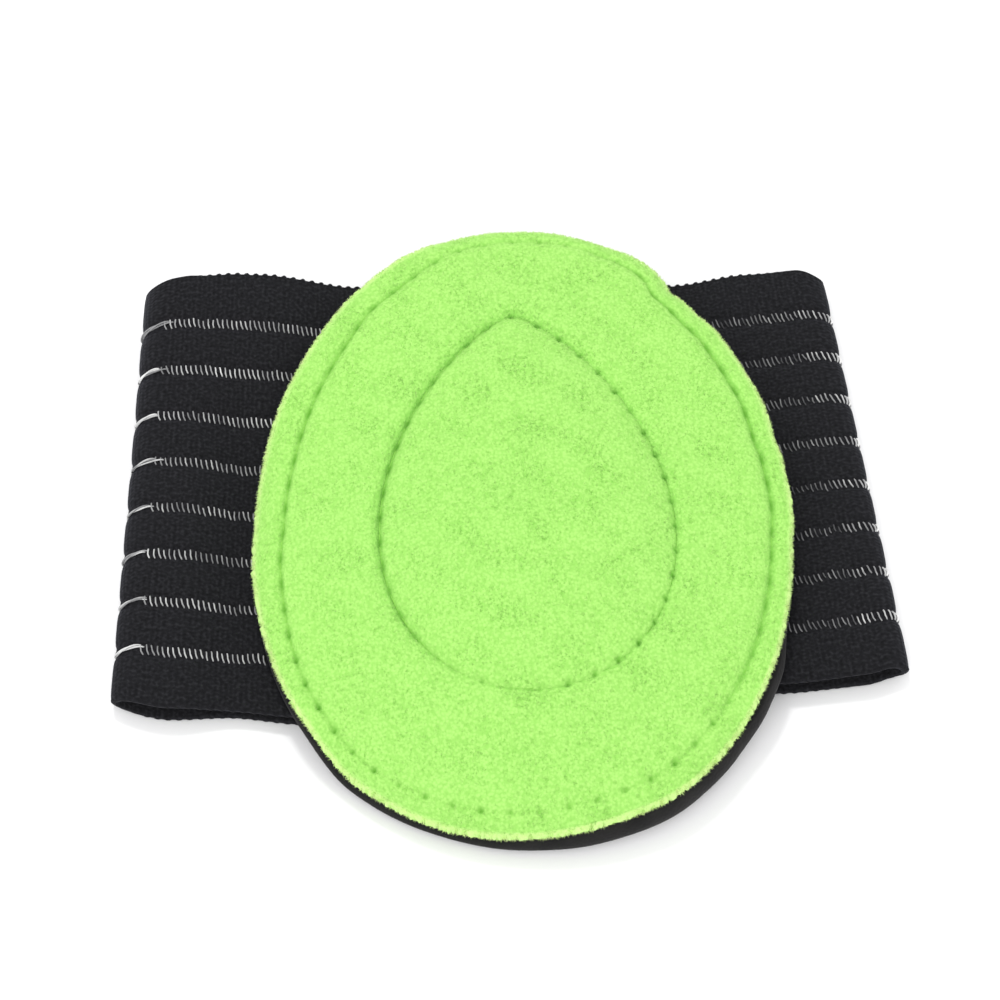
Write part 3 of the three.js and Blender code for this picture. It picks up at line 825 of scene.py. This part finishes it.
def make_backing():
    turn, ring = turn_grid(BACKING_TURNS, BACKING_OVER_RINGS)
    over = lifted(ring_point(turn, ring), cover_under(turn, ring) - GAP)
    rim_turn = turn[0]
    low, high = backing_under(rim_turn, 0 * rim_turn), cover_under(rim_turn, 0 * rim_turn) - GAP * 0.4
    bulge = RIM_BULGE * rim_share(rim_turn, BULGE)
    pulled_in = at_turn(BACKING_TRIM, rim_turn)
    sides = []
    for share in np.linspace(0.97, 0.03, 14):
        # widest below the middle, tucked in at the top edge and at the foot
        belly = np.sin(math.pi * share ** 0.8)
        inset = EDGE_TUCK * abs(2 * share - 1) ** 3 + EDGE_INSET + pulled_in - bulge * belly
        sides.append(lifted(inside_point(rim_turn, inset), mix(low, high, share)))
    turn, ring = turn_grid(BACKING_TURNS, BACKING_UNDER_RINGS)
    under = lifted(ring_point(turn, ring), backing_under(turn, ring))
    grid = np.concatenate([over, np.array(sides), under])
    return capped_grid("pad_backing_cloth", grid, [DROP_ACROSS, DROP_ALONG, CENTRE_UNDER - GAP],
                       [DROP_ACROSS, DROP_ALONG, HOLLOW_TOP + SEAT_GAP])


def cover_surface(turn, ring, puff):
    return lifted(ring_point(turn, ring), cover_top(turn, ring) - sink(turn, ring) + puff(turn, ring))


THREAD_RADIUS = 0.14
POINTS_PER_STITCH = 12


def make_stitches(name, stitches, puff):
    """Thread that lies in the groove between the needle holes and dips into each of them."""
    line, _, shades, _, path, count = stitches
    phase = np.arange(count * POINTS_PER_STITCH) / POINTS_PER_STITCH
    turn = np.interp(phase / count * path[-1], path, LINE_TURNS)
    points = cover_surface(turn, line + 0 * turn, puff)
    # it is drawn under the pile where the line is faint
    faint = 1 - at_turn(shades, turn)
    to_hole = to_needle_hole(phase, path, count)
    points[:, 2] -= 0.08 + 0.35 * faint**2 + 0.5 * np.exp(-(to_hole / 0.5) ** 2)
    return tubes(name, points[None], THREAD_RADIUS, closed=True)


PILE_SEED, FUZZ_SEED = 11, 12
PILE_BLADES, FUZZ_BLADES = 60000, 12000
PILE_HEIGHT, FUZZ_HEIGHT = 0.3, 0.5
PILE_WIDTH, FUZZ_WIDTH = 0.09, 0.07
PILE_SPREAD, FUZZ_SPREAD = 0.7, 0.45
PILE_RINGS = (0.06, 3.0)
PILE_ROOT = 0.08
MOST_PRESSED = 0.25
TRIES = 3


def needles(name, pick, root, way, tip, width):
    """Thin three-sided fibres from their roots to their tips."""
    side = unit(np.cross(way, pick.normal(size=way.shape)))
    other = np.cross(way, side)
    corners = [root + width * (math.cos(angle) * side + math.sin(angle) * other)
               for angle in (0, 2 * math.pi / 3, 4 * math.pi / 3)]
    faces = np.array([[0, 1, 3], [1, 2, 3], [2, 0, 3]]) + np.arange(len(way))[:, None, None] * 4
    return mesh_object(name, np.stack([*corners, tip], 1), faces.reshape(-1, 3))


def make_pile(puff):
    """Short leaning fibres that stand on the cover."""
    pick = np.random.default_rng(PILE_SEED)
    # even spread over the area: each place is kept with a chance that grows with the area it stands for
    turns = pick.uniform(0, 360, PILE_BLADES * TRIES)
    rings = pick.uniform(*PILE_RINGS, PILE_BLADES * TRIES)
    here = ring_point(turns, rings)
    side = ring_point(turns + 0.5, rings) - here
    inward = ring_point(turns, rings + 0.02) - here
    area = np.abs(side[:, 0] * inward[:, 1] - side[:, 1] * inward[:, 0])
    # none in the creases, where the stitches press the pile flat
    area = np.where(stitch_shade(turns, rings) > MOST_PRESSED, 0, area)
    keep = np.argsort(pick.exponential(size=len(area)) / np.maximum(area, LEAST_LENGTH))[:PILE_BLADES]
    turns, rings = turns[keep], rings[keep]
    base = cover_surface(turns, rings, puff)
    step_turn = cover_surface(turns + 0.4, rings, puff) - base
    step_ring = cover_surface(turns, rings + 0.01, puff) - base
    normal = np.cross(step_ring, step_turn)
    normal = unit(normal * np.sign(normal[:, 2:3] + 1e-12))
    way = unit(normal + pick.normal(size=base.shape) * PILE_SPREAD)
    tip = base + way * (PILE_HEIGHT * pick.uniform(0.55, 1.25, (PILE_BLADES, 1)))
    width = PILE_WIDTH * pick.uniform(0.7, 1.3, (PILE_BLADES, 1))
    piece = needles("pile", pick, base - normal * PILE_ROOT, way, tip, width)
    mark(piece, "rim_sheen_paint", np.repeat(painted_rim_sheen(turns, rings), 4))
    return piece


def make_rim_fuzz():
    """Fibres that stick out of the cut edge."""
    pick = np.random.default_rng(FUZZ_SEED)
    turns = pick.uniform(0, 360, FUZZ_BLADES)
    level = pick.uniform(0.3, 1.0, FUZZ_BLADES)
    foot, top = cover_under(turns, 0 * turns), cover_top(turns, 0 * turns)
    base = lifted(inside_point(turns, 0.1 + 0.5 * level**3), mix(foot, top, level))
    outward = inside_point(turns, 0 * turns - 1) - inside_point(turns, 0 * turns)
    way = unit(lifted(outward, 1.1 * level - 0.35) + pick.normal(size=base.shape) * FUZZ_SPREAD)
    tip = base + way * (FUZZ_HEIGHT * pick.uniform(0.5, 1.3, (FUZZ_BLADES, 1)))
    return needles("rim_fuzz", pick, base, way, tip, FUZZ_WIDTH)


SIM_TURNS = 208
SIM_RINGS = np.concatenate([
    np.linspace(0, 1, 6), np.linspace(1.08, 1.92, 12), [2.0], np.linspace(2.08, 2.96, 12)])
SIM_UNDER = np.array([0.3, 1.0, 2.0, 2.7])
SIM_SCALE = 15.0
SIM_FRAMES = 20
SIM_PRESSURE = 4.0
MOST_PUFF = 0.7
# Within this of a needle hole the cloth is held fully, and between them half
HELD_NEAR_HOLE = 0.8


def simulated_puff():
    """Blows the cover up between its stitches, as a closed cushion, and tells how far that lifts it."""
    turn, ring = turn_grid(SIM_TURNS, SIM_RINGS[::-1])
    top = lifted(ring_point(turn, ring), cover_top(turn, ring))
    cushion = capped_grid("cushion", np.concatenate([top, cover_lining(SIM_TURNS, SIM_UNDER)]) * SIM_SCALE,
                          np.array([DROP_ACROSS, DROP_ALONG, CROWN_TOP]) * SIM_SCALE,
                          np.array([DROP_ACROSS, DROP_ALONG, CENTRE_UNDER]) * SIM_SCALE)
    held = np.ones(len(cushion.data.vertices))
    free = (ring > 0.15).astype(float)
    for line, _, _, _, path, count in STITCH_LINES:
        at_hole = stitch_phase(turn, path, count)[1] < HELD_NEAR_HOLE
        free = np.where(np.isclose(ring, line), np.where(at_hole, 0.0, 0.5), free)
    held[: turn.size] = 1 - free.ravel()
    pins = cushion.vertex_groups.new(name="held")
    for value in np.unique(held):
        if value > 0:
            pins.add(np.flatnonzero(held == value).tolist(), float(value), "REPLACE")
    cloth = cushion.modifiers.new("cloth", "CLOTH")
    for key, value in dict(
        vertex_group_mass="held", quality=5, mass=0.3, tension_stiffness=15.0, compression_stiffness=15.0,
        bending_stiffness=2.0, use_pressure=True, uniform_pressure_force=SIM_PRESSURE,
    ).items():
        setattr(cloth.settings, key, value)
    cloth.settings.effector_weights.gravity = 0.0
    cloth.collision_settings.use_collision = False
    cloth.point_cache.frame_start, cloth.point_cache.frame_end = 1, SIM_FRAMES
    before = np.array([corner.co for corner in cushion.data.vertices])
    for frame_number in range(1, SIM_FRAMES + 1):
        bpy.context.scene.frame_set(frame_number)
    blown = cushion.evaluated_get(bpy.context.evaluated_depsgraph_get()).data
    after = np.array([corner.co for corner in blown.vertices])
    rise = (after - before)[: turn.size, 2].reshape(turn.shape)[::-1] / MM / SIM_SCALE
    bpy.data.objects.remove(cushion)
    bpy.context.scene.frame_set(1)
    rise = MOST_PUFF * np.tanh(rise / MOST_PUFF)
    rise = np.concatenate([rise, rise[:, :1]], 1)

    def puff(turn, ring):
        turn, ring = np.broadcast_arrays(np.asarray(turn, float), np.asarray(ring, float))
        row = np.interp(ring, SIM_RINGS, np.arange(len(SIM_RINGS)))
        column = (-turn / 360 * SIM_TURNS) % SIM_TURNS
        low, left = np.minimum(row.astype(int), len(SIM_RINGS) - 2), column.astype(int) % SIM_TURNS
        up, along = row - low, column - np.floor(column)
        return mix(*(mix(rise[line, left], rise[line, left + 1], along) for line in (low, low + 1)), up)

    return puff


# Materials

def material(name, color, roughness, sheen=0.0, sheen_tint=(1, 1, 1), specular=0.5):
    made = bpy.data.materials.new(name)
    made.use_nodes = True
    shader = made.node_tree.nodes["Principled BSDF"]
    for key, value in (
        ("Base Color", (*color, 1)), ("Roughness", roughness), ("Sheen Weight", sheen),
        ("Sheen Roughness", 0.5), ("Sheen Tint", (*sheen_tint, 1)), ("Specular IOR Level", specular),
    ):
        shader.inputs[key].default_value = value
    return made, made.node_tree, shader


def feed(tree, socket, value):
    """Links a node's input to another node's output, or gives it a plain value."""
    if isinstance(value, bpy.types.NodeSocket):
        tree.links.new(value, socket)
    else:
        socket.default_value = value


def node(tree, kind, **settings):
    made = tree.nodes.new(kind)
    for key, value in settings.items():
        if key in made.inputs.keys():
            feed(tree, made.inputs[key], value)
        else:
            setattr(made, key, value)
    return made


def math_node(tree, operation, *values):
    made = node(tree, "ShaderNodeMath", operation=operation)
    for socket, value in zip(made.inputs, values):
        feed(tree, socket, value)
    return made.outputs[0]


def times(tree, first, second):
    return math_node(tree, "MULTIPLY", first, second)


def plus(tree, first, second):
    return math_node(tree, "ADD", first, second)


def wave(tree, value, pitch, shift=0.0):
    return math_node(tree, "SINE", plus(tree, times(tree, value, 2 * math.pi / pitch), shift))


def noise(tree, places, scale, detail=2.0):
    return node(tree, "ShaderNodeTexNoise", Vector=places, Scale=scale, Detail=detail).outputs["Fac"]


def cells(tree, places, scale, randomness=1.0):
    """Distance to the nearest of many scattered points."""
    made = node(tree, "ShaderNodeTexVoronoi", Vector=places, Scale=scale, Randomness=randomness)
    return made.outputs["Distance"]


def kept(tree, name):
    """What the mesh keeps at its points under a name."""
    return node(tree, "ShaderNodeAttribute", attribute_name=name).outputs


def blend(tree, share, color, other):
    """A share of another colour over a colour."""
    made = node(tree, "ShaderNodeMix", data_type="RGBA")
    for index, value in ((0, share), (6, color), (7, (*other, 1))):
        feed(tree, made.inputs[index], value)
    return made.outputs[2]


def ramp(tree, value, stops):
    made = node(tree, "ShaderNodeValToRGB", Fac=value)
    elements = made.color_ramp.elements
    while len(elements) < len(stops):
        elements.new(0.5)
    for element, (position, color) in zip(elements, stops):
        element.position = position
        element.color = (*color, 1)
    return made.outputs[0]


def paint(tree, shader, color):
    tree.links.new(color, shader.inputs["Base Color"])


def add_bumps(tree, shader, height, strength, distance):
    made = node(tree, "ShaderNodeBump", Strength=strength, Distance=distance, Height=height)
    tree.links.new(made.outputs[0], shader.inputs["Normal"])


def object_places(tree):
    return tree.nodes.new("ShaderNodeTexCoord").outputs["Object"]


def noisy_material(name, color, roughness, scale, stops, detail=2.0, **finish):
    """A material whose colour runs through the stops with fine noise."""
    made, tree, shader = material(name, color, roughness, **finish)
    fine = noise(tree, object_places(tree), scale, detail)
    paint(tree, shader, ramp(tree, fine, stops))
    return made, tree, shader, fine


# Painted shade of small pits in the knit
PIT_SHADE_COLOR = (0.14, 0.35, 0.045)
# Painted sheen of the rim
RIM_SHEEN_COLOR = (0.66, 0.92, 0.33)
# Painted shade of the stitch grooves and needle holes
STITCH_SHADE_COLOR = (0.105, 0.33, 0.026)


def add_pit_shade_and_rim_sheen(tree, places, color, shader):
    """Painted shade of small pits in the knit in some places, and the painted sheen of the rim."""
    pit = math_node(tree, "LESS_THAN", cells(tree, places, 560.0, 0.55), 0.2)
    share = times(tree, math_node(tree, "SUBTRACT", noise(tree, places, 38.0, 1.0), 0.42), 2.6)
    share = math_node(tree, "MINIMUM", math_node(tree, "MAXIMUM", share, 0.0), 0.25)
    darker = blend(tree, times(tree, pit, share), color, PIT_SHADE_COLOR)
    paint(tree, shader, blend(tree, times(tree, kept(tree, "rim_sheen_paint")["Fac"], 0.75), darker, RIM_SHEEN_COLOR))


def terry_material():
    made, tree, shader = material("terry", (0.4, 0.82, 0.16), 0.95, sheen=0.2,
                                  sheen_tint=(0.75, 1.0, 0.45), specular=0.1)
    places = object_places(tree)
    loops, fine = cells(tree, places, 1900.0), noise(tree, places, 2600.0, 3.0)
    depth = plus(tree, times(tree, loops, 0.75), times(tree, fine, 0.5))
    depth = plus(tree, depth, times(tree, noise(tree, places, 160.0, 3.0), 0.12))
    # The colour darkens where depth is greater, between the loops: painted shade in the hollows of the knit
    color = ramp(tree, depth, [
        (0.3, (0.405, 0.755, 0.18)), (0.56, (0.372, 0.715, 0.16)), (0.86, (0.3, 0.635, 0.122))])
    # the stitch grooves and needle holes get painted shade
    add_pit_shade_and_rim_sheen(tree, places, blend(tree, kept(tree, "stitch_shade")["Fac"], color, STITCH_SHADE_COLOR), shader)
    add_bumps(tree, shader, math_node(tree, "SUBTRACT", 1.0, depth), 0.6, 0.00025)
    return made


def pile_material():
    made, tree, shader = material("terry_pile", (0.42, 0.86, 0.18), 0.95, sheen=0.15,
                                  sheen_tint=(0.8, 1.0, 0.5), specular=0.1)
    places = object_places(tree)
    color = ramp(tree, noise(tree, places, 900.0), [
        (0.3, (0.35, 0.69, 0.15)), (0.5, (0.388, 0.728, 0.168)), (0.75, (0.425, 0.76, 0.195))])
    add_pit_shade_and_rim_sheen(tree, places, color, shader)
    return made


def fuzz_material():
    # The fibres are paler green than the cover: painted sheen of the rim
    stops = [(0.35, (0.56, 0.88, 0.24)), (0.6, (0.74, 0.95, 0.36))]
    return noisy_material("rim_fuzz", (0.6, 0.95, 0.3), 0.95, 700.0, stops, sheen=0.2, specular=0.1)[0]


def thread_material():
    stops = [(0.3, (0.2, 0.48, 0.06)), (0.7, (0.28, 0.58, 0.1))]
    return noisy_material("sewing_thread", (0.2, 0.5, 0.06), 0.7, 1500.0, stops, specular=0.2)[0]


WEFT_PITCH = 0.8
WARP_PITCH = 0.62


def elastic_material():
    made, tree, shader = material("ribbed_elastic", (0.008, 0.008, 0.01), 0.85, sheen=0.05,
                                  sheen_tint=(0.7, 0.75, 1.0), specular=0.18)
    cloth = kept(tree, "cloth")["Vector"]
    along, across, _ = node(tree, "ShaderNodeSeparateXYZ", Vector=cloth).outputs
    wefts = wave(tree, along, WEFT_PITCH)
    rows = wave(tree, across, WARP_PITCH, times(tree, wave(tree, along, 2 * WEFT_PITCH), 1.4))
    woven = plus(tree, times(tree, wefts, 0.3), times(tree, rows, 0.3))
    fuzz = noise(tree, cloth, 1.7, 4.0)
    add_bumps(tree, shader, plus(tree, woven, times(tree, fuzz, 2.0)), 0.45, 0.00012)
    paint(tree, shader, ramp(tree, plus(tree, times(tree, woven, 0.12), fuzz), [
        (0.3, (0.0009, 0.0009, 0.0015)), (0.5, (0.0052, 0.0052, 0.0065)), (0.7, (0.0148, 0.0148, 0.0172))]))
    return made


def yarn_material():
    stops = [(0.3, (0.004, 0.004, 0.0055)), (0.7, (0.011, 0.011, 0.014))]
    made, tree, shader, fine = noisy_material("edge_yarn", (0.007, 0.007, 0.009), 0.85, 1800.0, stops, 3.0,
                                              sheen=0.04, specular=0.18)
    add_bumps(tree, shader, fine, 0.5, 0.00012)
    return made


def filament_material():
    made, tree, shader = material("filament", (0.82, 0.82, 0.8), 0.55, specular=0.3)
    fine = noise(tree, object_places(tree), 420.0)
    uneven = times(tree, math_node(tree, "SUBTRACT", fine, 0.5), 0.7)
    # The painted shine turns the white filament grey, down to near black as painted shade
    paint(tree, shader, ramp(tree, plus(tree, kept(tree, "shine")["Fac"], uneven), [
        (0.05, (0.06, 0.06, 0.065)), (0.45, (0.26, 0.26, 0.265)), (0.95, (0.82, 0.82, 0.81))]))
    return made


def backing_material():
    stops = [(0.3, (0.004, 0.0037, 0.004)), (0.7, (0.011, 0.01, 0.01))]
    made, tree, shader, _ = noisy_material("backing", (0.006, 0.0055, 0.006), 0.8, 220.0, stops, 3.0,
                                           sheen=0.05, specular=0.22)
    add_bumps(tree, shader, cells(tree, object_places(tree), 1700.0), 0.35, 0.00015)
    return made


def dress(piece, finish, nodes=()):
    piece.data.materials.append(finish)
    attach(piece, "root")
    if nodes:
        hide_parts(*nodes)
    return piece


# Camera, light and floor

FLOOR_REACH = 3.0
CAMERA_PLACE = (-0.0152, -0.3114, 0.5545)
CAMERA_TARGET = (-0.00002, 0.00843, 0.0)


def aim(thing, place, target=(0, 0, 0)):
    """Puts a camera or a lamp at a place, looking at a target."""
    thing.location = place
    thing.rotation_mode = "QUATERNION"
    thing.rotation_quaternion = (Vector(target) - Vector(place)).to_track_quat("-Z", "Y")


def set_stage():
    scene = bpy.context.scene
    data = bpy.data.cameras.new("camera")
    data.lens = 144.0
    data.sensor_width = 36.0
    data.clip_start, data.clip_end = 0.01, 100.0
    camera = add_object("camera", data)
    aim(camera, CAMERA_PLACE, CAMERA_TARGET)
    scene.camera = camera

    mesh = bpy.data.meshes.new("floor")
    corners = [(x * FLOOR_REACH, y * FLOOR_REACH, 0) for x, y in ((-1, -1), (1, -1), (1, 1), (-1, 1))]
    mesh.from_pydata(corners, [], [(0, 1, 2, 3)])
    floor = add_object("floor", mesh)
    mesh.materials.append(material("floor", (0.95, 0.95, 0.955), 0.9, specular=0.0)[0])

    for name, place, size, power in (
        ("key", (-0.12, 0.53, 1.05), 0.17, 3.6),
        ("fill", (-0.35, -1.0, 0.95), 1.1, 5.6),
    ):
        light = bpy.data.lights.new(name, "AREA")
        light.shape = "DISK"
        light.size = size
        light.energy = power
        aim(add_object(name, light), place)
    scene.world = bpy.data.worlds.new("world")
    scene.world.use_nodes = True
    background = scene.world.node_tree.nodes["Background"]
    background.inputs["Color"].default_value = (1, 1, 1, 1)
    background.inputs["Strength"].default_value = 1.08
    scene.view_settings.view_transform = "Standard"
    scene.view_settings.look = "None"


set_stage()
puff = simulated_puff()

elastic = dress(make_band(), elastic_material(), ["elastic_band"])
yarn = yarn_material()
far_yarn = dress(make_edge_yarn("edge_yarn_far", 0.0, -1.0, 1.0), yarn)
near_yarn = dress(make_edge_yarn("edge_yarn_near", BAND_WIDTH, 1.0, 0.4), yarn)
filament = filament_material()
stripes = [
    dress(make_stripe(groove), filament, [f"stripe_{groove}"]) for groove in range(1, RIB_COUNT)
]
stripes.append(dress(make_fold_strands(), filament))
backing = dress(make_backing(), backing_material(), ["pad_backing"])
cover = dress(make_cover(puff), terry_material(), ["pad_cover"])
thread = thread_material()
dress(make_stitches("outer_stitches", STITCH_LINES[0], puff), thread)
dress(make_stitches("inner_stitches", STITCH_LINES[1], puff), thread)
dress(make_pile(puff), pile_material())
dress(make_rim_fuzz(), fuzz_material())
